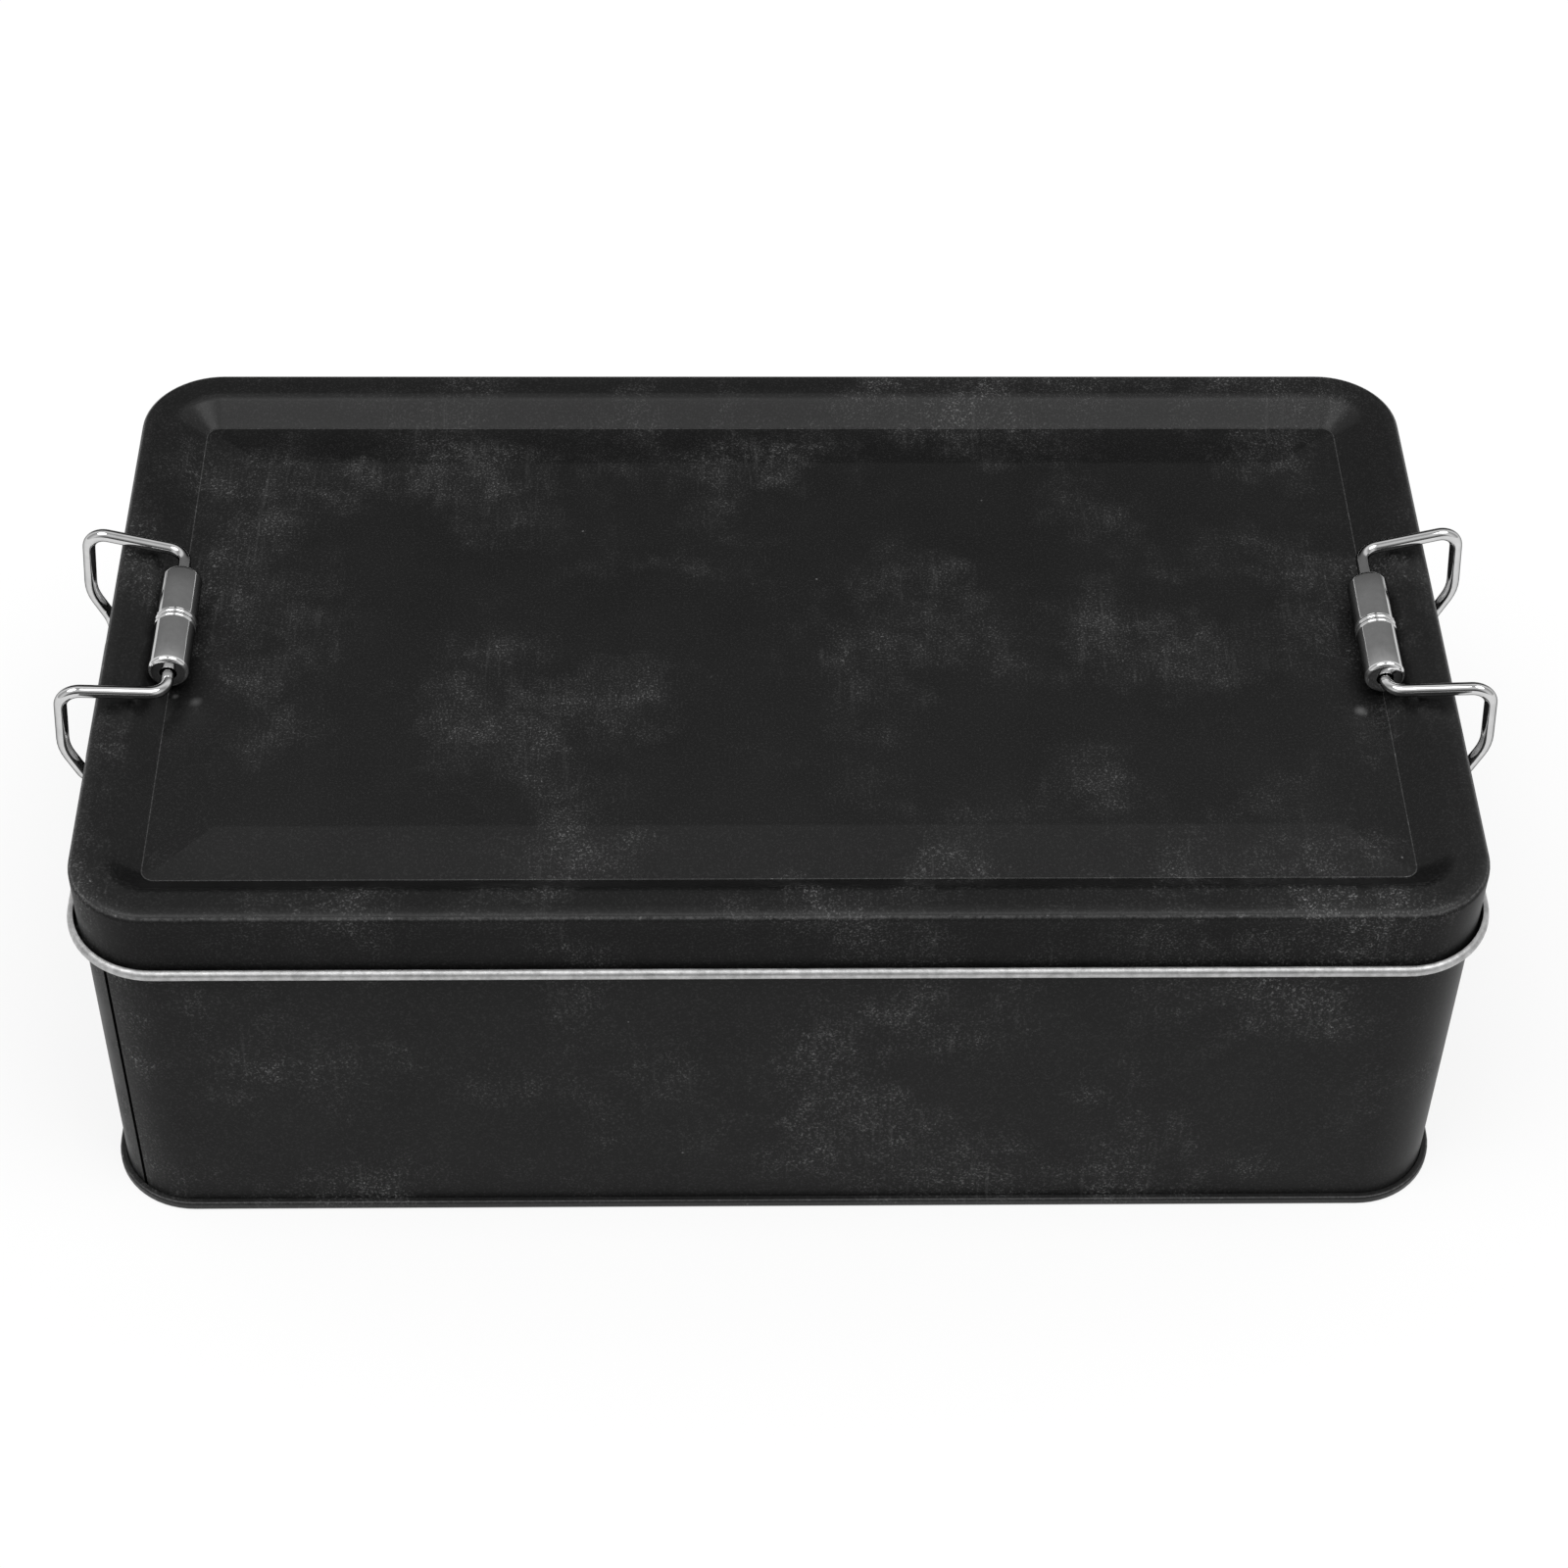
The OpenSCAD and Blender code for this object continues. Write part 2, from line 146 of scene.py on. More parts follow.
# ---- Places read from the frame ----
lid_low, lid_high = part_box("lid")
TIN_H = lid_high.z
CURL_OUT = 2 * CURL_R - SHEET
LID_HALF = (lid_high.x - CURL_OUT, lid_high.y - CURL_OUT)
CURL_Z = lid_low.z + CURL_R
WALL_STEP = SHEET + LID_GAP
BOX_HALF = (LID_HALF[0] - WALL_STEP, LID_HALF[1] - WALL_STEP)
BOX_CORNER = LID_CORNER - WALL_STEP
BOX_TOP = TIN_H - SHEET - LID_GAP
JOINTS = {joint["name"]: joint for joint in frame["joints"]}


# ---- Mesh helpers ----

def arc(centre, radius, start, end, steps):
    """Points and outward normals of an arc in a section, angles in degrees."""
    made = []
    for i in range(steps + 1):
        a = math.radians(start + (end - start) * i / steps)
        out = (math.cos(a), math.sin(a))
        made.append(((centre[0] + radius * out[0], centre[1] + radius * out[1]), out))
    return made


def line(start, end, steps):
    """Points between two ends of a straight stretch, without the ends, with its right normal."""
    run = (end[0] - start[0], end[1] - start[1])
    size = math.hypot(*run)
    normal = (run[1] / size, -run[0] / size)
    return [
        ((start[0] + run[0] * i / steps, start[1] + run[1] * i / steps), normal)
        for i in range(1, steps)
    ]


def turned(rows):
    """The same points with their normals on the other side."""
    return [(p, (-n[0], -n[1])) for p, n in rows]


def corner_angles(extra=()):
    """Angles round one corner, with a few extra ones where a seam needs its own points."""
    return sorted([90 * i / CORNER_STEPS for i in range(CORNER_STEPS + 1)] + list(extra))


def ring(half, corner, out, angles, dent=None):
    """Points of a rectangle with round corners, grown outward by out. Angles has a list for each corner,
    counted from the back right one (0) by way of the back left one (1)."""
    radius = max(corner + out, LEAST_CORNER_R)
    made = []
    signs = ((1, 1), (-1, 1), (-1, -1), (1, -1))
    arcs = []
    for k, (sx, sy) in enumerate(signs):
        centre = (sx * (half[0] + out - radius), sy * (half[1] + out - radius))
        points = []
        for a in angles[k]:
            r = radius - (dent(k, a) if dent else 0)
            t = math.radians(a + 90 * k)
            points.append((centre[0] + r * math.cos(t), centre[1] + r * math.sin(t)))
        arcs.append(points)
    for k in range(4):
        here, following = arcs[k], arcs[(k + 1) % 4]
        made += here
        a, b = here[-1], following[0]
        steps = SIDE_STEPS[k % 2]
        made += [
            (a[0] + (b[0] - a[0]) * i / steps, a[1] + (b[1] - a[1]) * i / steps)
            for i in range(1, steps)
        ]
    return made


def new_piece(name, bm, materials, sharp=38):
    """Makes the object, smooth but for edges sharper than the given angle."""
    bmesh.ops.recalc_face_normals(bm, faces=bm.faces)
    limit = math.radians(sharp)
    for f in bm.faces:
        f.smooth = True
    for e in bm.edges:
        e.smooth = len(e.link_faces) == 2 and e.calc_face_angle(0) < limit
    mesh = bpy.data.meshes.new(name)
    bm.to_mesh(mesh)
    bm.free()
    for m in materials:
        mesh.materials.append(m)
    piece = bpy.data.objects.new(name, mesh)
    bpy.context.scene.collection.objects.link(piece)
    return piece


def sheet_shell(name, section, half, corner, angles, materials, closed_floor, dent=None, inlay=None):
    """A sheet swept round the box. The section lists (point, normal, finish, wear and glint) on the
    painted side:
    finish is the material of the stretch up to that point, wear and glint how much its paint is
    lightened, by rubbed paint and by painted highlights along edges.
    The other side of the sheet gets the last material. An inlay gives a stretch of a corner
    its own finish, and a dent its depth."""
    bm = bmesh.new()
    wear_and_glint = bm.verts.layers.float.new("wear_and_glint")
    painted = [p for p, n, number, rub_and_glint in section]
    bare = [(p[0] - n[0] * SHEET, p[1] - n[1] * SHEET) for p, n, number, rub_and_glint in section]
    rubs_and_glints = [rub_and_glint for p, n, number, rub_and_glint in section]
    last = len(materials) - 1
    loops = {}
    for side, points in (("painted", painted), ("bare", bare)):
        loops[side] = []
        for (out, z), rub_and_glint in zip(points, rubs_and_glints):
            row = [bm.verts.new((x, y, z)) for x, y in ring(half, corner, out, angles, dent)]
            for v in row:
                v[wear_and_glint] = rub_and_glint
            loops[side].append(row)
    count = len(loops["painted"][0])
    columns = []
    for k in range(4):
        columns += [inlay(k, (a + b) / 2) if inlay else None for a, b in zip(angles[k], angles[k][1:])]
        columns += [None] * SIDE_STEPS[k % 2]

    def skin(low, high, number, own=()):
        for i in range(count):
            j = (i + 1) % count
            face = bm.faces.new((low[i], low[j], high[j], high[i]))
            face.material_index = own[i] if own and own[i] is not None else number

    rows = loops["painted"]
    for i in range(1, len(rows)):
        skin(rows[i - 1], rows[i], section[i][2], columns)
    rows = loops["bare"]
    for low, high in zip(rows, rows[1:]):
        skin(low, high, last)
    skin(loops["bare"][0], loops["painted"][0], last)
    if closed_floor:
        bm.faces.new(loops["painted"][-1]).material_index = section[-1][2]
        bm.faces.new(loops["bare"][-1]).material_index = last
    else:
        skin(loops["painted"][-1], loops["bare"][-1], last)
    bmesh.ops.remove_doubles(bm, verts=bm.verts, dist=MERGE)
    return new_piece(name, bm, materials)


def finish(rows, number, wear_and_glint=0.0):
    """Gives rows of a section their finish, and their wear and painted glint."""
    return [(p, n, number, wear_and_glint) for p, n in rows]


def rounded_path(points, radii, step_angle=7.5, step_length=2.5 * MM):
    """Centre line through corners, each bent to its own radius."""
    ways = [(b - a).normalized() for a, b in zip(points, points[1:])]
    cuts = [0]
    for i, r in enumerate(radii):
        cuts.append(r * math.tan(ways[i].angle(ways[i + 1]) / 2))
    cuts.append(0)
    made = []
    for i, way in enumerate(ways):
        start = points[i] + way * cuts[i]
        end = points[i + 1] - way * cuts[i + 1]
        steps = max(1, round((end - start).length / step_length))
        made += [start.lerp(end, k / steps) for k in range(0 if i == 0 else 1, steps + 1)]
        if i < len(radii):
            turn = way.angle(ways[i + 1])
            axis = way.cross(ways[i + 1]).normalized()
            heart = end + axis.cross(way) * radii[i]
            steps = max(2, math.ceil(math.degrees(turn) / step_angle))
            for k in range(1, steps + 1):
                spin = Matrix.Rotation(turn * k / steps, 3, axis)
                made.append(heart + spin @ (end - heart))
    return made


def tube(bm, path, radius, sides):
    """Round rod along a path, its ends eased in two steps."""
    ways = [(b - a).normalized() for a, b in zip(path, path[1:])]
    ways = [ways[0]] + [(a + b).normalized() for a, b in zip(ways, ways[1:])] + [ways[-1]]
    normal = ways[0].orthogonal().normalized()
    rows = []
    ease = radius * END_EASE
    step = ease * END_STEP
    stops = [(path[0], radius - ease)]
    stops += [(path[0] + ways[0] * step, radius - step)]
    stops += [(path[0] + ways[0] * ease, radius)]
    stops += [(p, radius) for p in path[1:-1]]
    stops += [(path[-1] - ways[-1] * ease, radius)]
    stops += [(path[-1] - ways[-1] * step, radius - step)]
    stops += [(path[-1], radius - ease)]
    directions = [ways[0]] * 3 + ways[1:-1] + [ways[-1]] * 3
    for (centre, r), way in zip(stops, directions):
        normal = (normal - way * normal.dot(way)).normalized()
        side = way.cross(normal)
        rows.append([
            bm.verts.new(centre + (normal * math.cos(t) + side * math.sin(t)) * r)
            for t in (2 * math.pi * k / sides for k in range(sides))
        ])
    for low, high in zip(rows, rows[1:]):
        for k in range(sides):
            j = (k + 1) % sides
            bm.faces.new((low[k], low[j], high[j], high[k]))
    bm.faces.new(rows[0])
    bm.faces.new(rows[-1])


def lathe(bm, section, centre, way, sides):
    """Turns a closed section of (radius, distance along way) about an axis."""
    way = Vector(way).normalized()
    across = way.orthogonal().normalized()
    up = way.cross(across)
    rows = []
    for r, along in section:
        rows.append([
            bm.verts.new(centre + way * along + (across * math.cos(t) + up * math.sin(t)) * r)
            for t in (2 * math.pi * k / sides for k in range(sides))
        ])
    for i in range(len(rows)):
        low, high = rows[i], rows[(i + 1) % len(rows)]
        for k in range(sides):
            j = (k + 1) % sides
            bm.faces.new((low[k], low[j], high[j], high[k]))


# ---- Materials ----

# Grey of plain chalk, and of paint that is rubbed through or carries a painted edge highlight
CHALK_GREY = 0.17


def material(name):
    """A new material with its nodes, its links and its main shader."""
    made = bpy.data.materials.new(name)
    made.use_nodes = True
    nodes = made.node_tree.nodes
    return made, nodes, made.node_tree.links, nodes["Principled BSDF"]


def node(nodes, kind, **values):
    """Adds a node and sets its properties, or the sockets that the values name with in_."""
    made = nodes.new(kind)
    for key, value in values.items():
        if key.startswith("in_"):
            made.inputs[key[3:].replace("_", " ")].default_value = value
        else:
            setattr(made, key, value)
    return made


def ramp(nodes, links, source, stops, kind="EASE"):
    """A colour ramp of grey levels on a value."""
    made = nodes.new("ShaderNodeValToRGB")
    made.color_ramp.interpolation = kind
    cells = made.color_ramp.elements
    while len(cells) < len(stops):
        cells.new(0.5)
    for cell, (place, level) in zip(cells, stops):
        cell.position = place
        cell.color = (level, level, level, 1)
    links.new(source, made.inputs["Fac"])
    return made.outputs["Color"]


def combine(nodes, links, operation, a, b, clamp=False):
    """Arithmetic on two values, each a number or a socket."""
    made = nodes.new("ShaderNodeMath")
    made.operation = operation
    made.use_clamp = clamp
    for socket, value in zip(made.inputs, (a, b)):
        if isinstance(value, (int, float)):
            socket.default_value = value
        else:
            links.new(value, socket)
    return made.outputs["Value"]


def noise(nodes, links, place, scale, detail=2.0, rough=0.5):
    """Cloudy noise at a place, its scale in features a metre."""
    made = node(nodes, "ShaderNodeTexNoise", in_Scale=scale, in_Detail=detail, in_Roughness=rough)
    links.new(place, made.inputs["Vector"])
    return made.outputs["Fac"]


def stretched(nodes, links, place, scale):
    """The place scaled along each axis, which draws a texture out along the axes with small scales."""
    made = nodes.new("ShaderNodeMapping")
    made.inputs["Scale"].default_value = scale
    links.new(place, made.inputs["Vector"])
    return made.outputs["Vector"]


def roughen(nodes, links, shader, height, strength, depth):
    """Small bumps in the surface, from a height between 0 and 1."""
    bump = node(nodes, "ShaderNodeBump", in_Strength=strength, in_Distance=depth)
    links.new(height, bump.inputs["Height"])
    links.new(bump.outputs["Normal"], shader.inputs["Normal"])


def black_paint(name, gloss, base, chalkiness, light_spots=()):
    """Satin-matt black lacquer with clouds of chalky specks, drag lines, worn edges with painted
    highlights on them, and lighter spots.
    Gloss is the shader's specular level and base the paint's grey; chalkiness scales all the chalk."""
    made, nodes, links, shader = material(name)
    place = nodes.new("ShaderNodeTexCoord").outputs["Object"]

    def times(a, b):
        return combine(nodes, links, "MULTIPLY", a, b)

    def marks(scale, detail, rough, stops, where=place):
        return ramp(nodes, links, noise(nodes, links, where, scale, detail, rough), stops)

    # Where the chalk lies: broad clouds broken up into smaller patches
    clouds = marks(scale=38, detail=4, rough=0.6, stops=[(0.45, 0), (0.70, 1)])
    patches = marks(scale=140, detail=4, rough=0.7, stops=[(0.42, 0), (0.68, 1)])
    cover = combine(nodes, links, "ADD", times(clouds, 0.25), times(times(clouds, patches), 0.75))
    # What it is made of: fine specks, coarser grains, dots, drag lines down the faces, flecks and a haze
    fine = marks(scale=2600, detail=2, rough=0.7, stops=[(0.50, 0), (0.68, 1)])
    grains = marks(scale=1300, detail=4, rough=0.8, stops=[(0.56, 0), (0.72, 1)])
    cells = node(nodes, "ShaderNodeTexVoronoi", in_Scale=75)
    links.new(place, cells.inputs["Vector"])
    dots = ramp(nodes, links, cells.outputs["Distance"], [(0.009, 1), (0.019, 0)])
    drag_place = stretched(nodes, links, place, (1, 0.06, 0.06))
    drags = marks(scale=1300, detail=3, rough=0.7, stops=[(0.52, 0), (0.80, 1)], where=drag_place)
    flecks = marks(scale=420, detail=5, rough=0.9, stops=[(0.66, 0), (0.72, 1)])
    haze = noise(nodes, links, place, 60, detail=5, rough=0.7)

    # Where the paint is worn and where edges get a painted highlight, from the mesh, and how it breaks up
    # there
    rub_and_glint = nodes.new("ShaderNodeAttribute")
    rub_and_glint.attribute_name = "wear_and_glint"
    spots = marks(scale=1500, detail=4, rough=0.8, stops=[(0.30, 0.15), (0.70, 1)])
    chips = marks(scale=380, detail=4, rough=0.8, stops=[(0.60, 0), (0.66, 1)])
    chalk = times(cover, 0.06 * chalkiness)
    for part, share in (
        (times(cover, fine), 0.50 * chalkiness),
        (times(cover, grains), 1.10 * chalkiness),
        (times(clouds, drags), 0.20 * chalkiness),
        (times(cover, flecks), 1.30 * chalkiness),
        (dots, 0.80 * chalkiness),
        (fine, 0.08 * chalkiness),
        (haze, 0.05 * chalkiness),
        (times(rub_and_glint.outputs["Fac"], spots), 0.42),
        (times(times(rub_and_glint.outputs["Fac"], spots), chips), 0.70),
    ):
        chalk = combine(nodes, links, "ADD", chalk, times(part, share), clamp=True)
    for spot, radius, share in light_spots:
        away = nodes.new("ShaderNodeVectorMath")
        away.operation = "DISTANCE"
        links.new(place, away.inputs[0])
        away.inputs[1].default_value = spot
        away_in_radii = combine(nodes, links, "DIVIDE", away.outputs["Value"], radius)
        near = ramp(nodes, links, away_in_radii, [(0, 1), (1, 0)])
        chalk = combine(nodes, links, "ADD", chalk, times(near, share), clamp=True)
    mix = node(nodes, "ShaderNodeMix", data_type="RGBA")
    mix.inputs["A"].default_value = (base, base, base, 1)
    mix.inputs["B"].default_value = (CHALK_GREY, CHALK_GREY, CHALK_GREY, 1)
    links.new(chalk, mix.inputs["Factor"])
    links.new(mix.outputs["Result"], shader.inputs["Base Color"])
    rough = ramp(nodes, links, cover, [(0.0, 0.36), (0.6, 0.50)], "LINEAR")
    links.new(rough, shader.inputs["Roughness"])
    shader.inputs["Specular IOR Level"].default_value = gloss
    grit = noise(nodes, links, place, 2200, detail=2, rough=0.6)
    roughen(nodes, links, shader, grit, strength=0.12, depth=0.04 * MM)
    return made


def bare_tinplate():
    """Satin tin-plated steel with a faint rolling grain."""
    made, nodes, links, shader = material("bare_tinplate")
    place = nodes.new("ShaderNodeTexCoord").outputs["Object"]
    blotch = noise(nodes, links, place, 700, detail=4, rough=0.7)
    tone = ramp(nodes, links, blotch, [(0.35, 0.37), (0.65, 0.56)], "LINEAR")
    links.new(tone, shader.inputs["Base Color"])
    shader.inputs["Metallic"].default_value = 1.0
    grain_place = stretched(nodes, links, place, (0.05, 1, 1))
    grain = noise(nodes, links, grain_place, 2400, detail=2, rough=0.6)
    rough = ramp(nodes, links, grain, [(0.3, 0.40), (0.7, 0.54)], "LINEAR")
    links.new(rough, shader.inputs["Roughness"])
    roughen(nodes, links, shader, grain, strength=0.15, depth=0.03 * MM)
    return made


def chrome(name, dull, level, edge):
    """Bright plating with fine wipe marks, darker where it is seen edge-on.
    Dull is its least roughness, level its grey seen straight on, edge its tint seen edge-on."""
    made, nodes, links, shader = material(name)
    place = nodes.new("ShaderNodeTexCoord").outputs["Object"]
    blotch = noise(nodes, links, place, 500, detail=3, rough=0.6)
    tone = ramp(nodes, links, blotch, [(0.3, level - 0.04), (0.7, level + 0.04)], "LINEAR")
    links.new(tone, shader.inputs["Base Color"])
    shader.inputs["Metallic"].default_value = 1.0
    shader.inputs["Specular Tint"].default_value = (edge, edge, edge, 1)
    wipe_place = stretched(nodes, links, place, (1, 0.08, 1))
    wipes = noise(nodes, links, wipe_place, 3500, detail=2, rough=0.6)
    rough = ramp(nodes, links, wipes, [(0.35, dull), (0.75, dull + 0.07)], "LINEAR")
    links.new(rough, shader.inputs["Roughness"])
    roughen(nodes, links, shader, wipes, strength=0.05, depth=0.02 * MM)
    return made


# ---- Camera, light and floor ----

CAMERA_PLACE = Vector((-11.31, -430.23, 485.73)) * MM
CAMERA_PITCH = math.radians(46.274)
CAMERA_YAW = math.radians(1.74)
CAMERA_ROLL = math.radians(1.114)
FOCAL_PIXELS = 3517.4
PHOTO_SIDE = 1600
# Two wide, even lamps: how wide each looks in degrees, its strength and the direction that it is in
SUN_WIDE = 36
SUN_STRENGTH = 1.05
SUN_WAYS = {"left_softbox": (-0.40, -0.20, 0.89), "right_softbox": (0.40, -0.20, 0.89)}
# Brightness of the room along its depth, from in front of the object (0) to behind it (1)
ROOM_STOPS = [
    (0.00, 0.05), (0.20, 0.85), (0.30, 0.70), (0.50, 0.40),
    (0.74, 0.95), (0.79, 0.80), (0.85, 0.22), (0.92, 0.01),
]
FLOOR_HALF = 20.0
FLOOR_GREY = 0.93
# Share of plain white in the floor as it is seen, the rest being its shaded surface
FLOOR_GLOW = 0.80


def make_camera():
    """A camera at the viewing angle of the square frame."""
    data = bpy.data.cameras.new("camera")
    data.sensor_width = 36
    data.lens = data.sensor_width * FOCAL_PIXELS / PHOTO_SIDE
    data.clip_start = 0.01
    data.clip_end = 100
    camera = bpy.data.objects.new("camera", data)
    bpy.context.scene.collection.objects.link(camera)
    ahead = Vector((
        math.sin(CAMERA_YAW) * math.cos(CAMERA_PITCH),
        math.cos(CAMERA_YAW) * math.cos(CAMERA_PITCH),
        -math.sin(CAMERA_PITCH),
    ))
    level = Vector((math.cos(CAMERA_YAW), -math.sin(CAMERA_YAW), 0))
    over = level.cross(ahead)
    right = level * math.cos(CAMERA_ROLL) + over * math.sin(CAMERA_ROLL)
    up = over * math.cos(CAMERA_ROLL) - level * math.sin(CAMERA_ROLL)
    turn = Matrix((right, up, -ahead)).transposed().to_4x4()
    camera.matrix_world = Matrix.Translation(CAMERA_PLACE) @ turn
    bpy.context.scene.camera = camera


def make_sun(name, towards):
    """A far, soft lamp in the given direction."""
    data = bpy.data.lights.new(name, "SUN")
    data.energy = SUN_STRENGTH
    data.angle = math.radians(SUN_WIDE)
    lamp = bpy.data.objects.new(name, data)
    lamp.rotation_euler = Vector(towards).to_track_quat("Z", "Y").to_euler()
    bpy.context.scene.collection.objects.link(lamp)


def make_world():
    """A plain grey room whose brightness changes with its depth."""
    world = bpy.data.worlds.new("studio")
    bpy.context.scene.world = world
    world.use_nodes = True
    nodes = world.node_tree.nodes
    links = world.node_tree.links
    place = nodes.new("ShaderNodeTexCoord").outputs["Generated"]
    parts = nodes.new("ShaderNodeSeparateXYZ")
    links.new(place, parts.inputs["Vector"])
    halved = combine(nodes, links, "MULTIPLY", parts.outputs["Y"], 0.5)
    depth = combine(nodes, links, "ADD", halved, 0.5)
    links.new(ramp(nodes, links, depth, ROOM_STOPS), nodes["Background"].inputs["Color"])


def make_floor():
    """A white floor that lights itself a little where it is seen, so that it reads as white."""
    bm = bmesh.new()
    signs = ((-1, -1), (1, -1), (1, 1), (-1, 1))
    bm.faces.new([bm.verts.new((x * FLOOR_HALF, y * FLOOR_HALF, 0)) for x, y in signs])
    made, nodes, links, shader = material("floor_white")
    shader.inputs["Base Color"].default_value = (FLOOR_GREY, FLOOR_GREY, FLOOR_GREY, 1)
    shader.inputs["Roughness"].default_value = 0.9
    shader.inputs["Specular IOR Level"].default_value = 0.0
    path = nodes.new("ShaderNodeLightPath")
    seen = combine(nodes, links, "ADD", path.outputs["Is Camera Ray"], path.outputs["Is Glossy Ray"])
    seen = combine(nodes, links, "ADD", seen, path.outputs["Is Transmission Ray"], clamp=True)
    glow = node(nodes, "ShaderNodeEmission", in_Strength=1.0)
    mix = nodes.new("ShaderNodeMixShader")
    links.new(combine(nodes, links, "MULTIPLY", seen, FLOOR_GLOW), mix.inputs["Fac"])
    links.new(shader.outputs["BSDF"], mix.inputs[1])
    links.new(glow.outputs["Emission"], mix.inputs[2])
    links.new(mix.outputs["Shader"], nodes["Material Output"].inputs["Surface"])
    floor = new_piece("floor", bm, [made])


make_camera()
for sun_name, sun_way in SUN_WAYS.items():
    make_sun(sun_name, sun_way)
make_world()
make_floor()

# Lighter spots on the lid by the front ends of the rollers: place, radius and how much
LID_SPOTS = [
    (Vector((99.0, -18.3, 72.3)) * MM, 1.6 * MM, 0.45),
    (Vector((-102.2, -13.9, 72.0)) * MM, 0.8 * MM, 0.35),
    (Vector((-98.5, -15.6, 72.1)) * MM, 1.6 * MM, 0.30),
]
# The lid's top and skirt are one lacquer in two copies. The skirt's other grey and lower gloss make it
# darker than the top, as painted shade.
TOP_LIT_PAINT = black_paint("lid_top_lit_paint", gloss=0.26, base=0.0022, chalkiness=0.78, light_spots=LID_SPOTS)
SKIRT_SHADED_PAINT = black_paint("lid_skirt_shaded_paint", gloss=0.05, base=0.0050, chalkiness=0.75)
BODY_PAINT = black_paint("body_paint", gloss=0.055, base=0.0085, chalkiness=0.9)
BASE_PAINT = black_paint("base_paint", gloss=0.22, base=0.0070, chalkiness=0.7)
# Near-black paint without gloss for the lock seam's groove: painted shade
GROOVE_SHADE_PAINT = black_paint("groove_shade_paint", gloss=0.0, base=0.0015, chalkiness=0.1)
TIN = bare_tinplate()
CHROME = chrome("bright_chrome", dull=0.05, level=0.74, edge=0.3)
WIRE_CHROME = chrome("wire_chrome", dull=0.03, level=0.62, edge=0.0)
STEEL = chrome("plated_steel", dull=0.28, level=0.50, edge=0.6)
# The core's steel is near black so that the rollers' end holes read dark: painted shade
CORE_SHADE_STEEL = chrome("core_shade_steel", dull=0.35, level=0.10, edge=0.2)


# ---- Lid ----

# Order of the lid's finishes: the top's lit copy and the skirt's shaded copy of one lacquer
TOP = 0
SKIRT = 1


def make_lid():
    """Curl, skirt, rim, sloping recess wall, bevels and flat panel of one sheet."""
    curl_centre = (CURL_R - SHEET, CURL_Z)
    crease = (-RECESS_INSET, TIN_H - RECESS_DEPTH)
    run = RECESS_INSET - RIM_W
    drop = RECESS_DEPTH - BROW_R
    slope = math.degrees(math.atan2(drop, run) + math.asin(BROW_R / math.hypot(run, drop)))
    section = finish(turned(arc(curl_centre, CURL_R - SHEET, 180 + CURL_SHOWN, 180, 28)), SKIRT)
    section += finish(line((0, CURL_Z), (0, TIN_H - EDGE_R), 6), SKIRT)
    edge = arc((-EDGE_R, TIN_H - EDGE_R), EDGE_R, 0, 90, 12)
    # The edge's middle rows are lightened partly as worn paint and partly as a painted highlight along
    # the top edge
    section += finish(edge[:4], SKIRT, wear_and_glint=0.05)
    section += finish(edge[4:5], SKIRT, wear_and_glint=0.3)
    section += finish(edge[5:7], SKIRT, wear_and_glint=1.0)
    section += finish(edge[7:], TOP, wear_and_glint=0.1)
    section += finish(line((-EDGE_R, TIN_H), (-RIM_W, TIN_H), 3), TOP)
    brow = arc((-RIM_W, TIN_H - BROW_R), BROW_R, 90, 90 + slope, 8)
    section += finish(brow, TOP)
    # Foot of the recess wall, rounded where it turns into the bevel
    tilt = math.degrees(math.atan2(PANEL_RISE, BEVEL_W))
    tangent = CREASE_R * math.tan(math.radians((slope + tilt) / 2))
    down = (-math.cos(math.radians(slope)), -math.sin(math.radians(slope)))
    wall_end = (crease[0] - down[0] * tangent, crease[1] - down[1] * tangent)
    section += finish(line(brow[-1][0], wall_end, 3), TOP)
    wall_normal = (math.cos(math.radians(90 + slope)), math.sin(math.radians(90 + slope)))
    heart = (wall_end[0] + wall_normal[0] * CREASE_R, wall_end[1] + wall_normal[1] * CREASE_R)
    foot = turned(arc(heart, CREASE_R, 270 + slope, 270 - tilt, 6))
    section += finish(foot[:5], TOP)
    section += finish(foot[5:], TOP, wear_and_glint=1.0)
    # Bevel up to the flat panel, rounded at its top
    bevel_top = (crease[0] - BEVEL_W, crease[1] + PANEL_RISE)
    tangent = PANEL_EDGE_R * math.tan(math.radians(tilt / 2))
    up = (-math.cos(math.radians(tilt)), math.sin(math.radians(tilt)))
    bevel_end = (bevel_top[0] - up[0] * tangent, bevel_top[1] - up[1] * tangent)
    foot_end = foot[-1][0]
    past_foot = (foot_end[0] + up[0] * RUBBED_W, foot_end[1] + up[1] * RUBBED_W)
    section += finish([(past_foot, (up[1], -up[0]))], TOP)
    section += finish(line(past_foot, bevel_end, 3), TOP)
    heart = (bevel_top[0] - tangent, bevel_top[1] - PANEL_EDGE_R)
    section += finish(arc(heart, PANEL_EDGE_R, 90 - tilt, 90, 4), TOP)
    angles = [corner_angles()] * 4
    materials = [TOP_LIT_PAINT, SKIRT_SHADED_PAINT, TIN]
    piece = sheet_shell("lid_shell", section, LID_HALF, LID_CORNER, angles, materials,
                        closed_floor=True)
    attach(piece, "lid")
    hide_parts("lid")


# ---- Box ----

# Order of the finishes of the wall, the second being painted shade in its groove, and of the base, which
# has no groove
PAINTED = 0
GROOVE_SHADE = 1
# The front left corner, which carries the lock seam, and half the groove in degrees
SEAM_CORNER = 2
SEAM_HALF_TURN = math.degrees(GROOVE_W / 2 / BOX_CORNER)
# Share of the groove's half width past which its sides rise
GROOVE_FLAT = 0.8


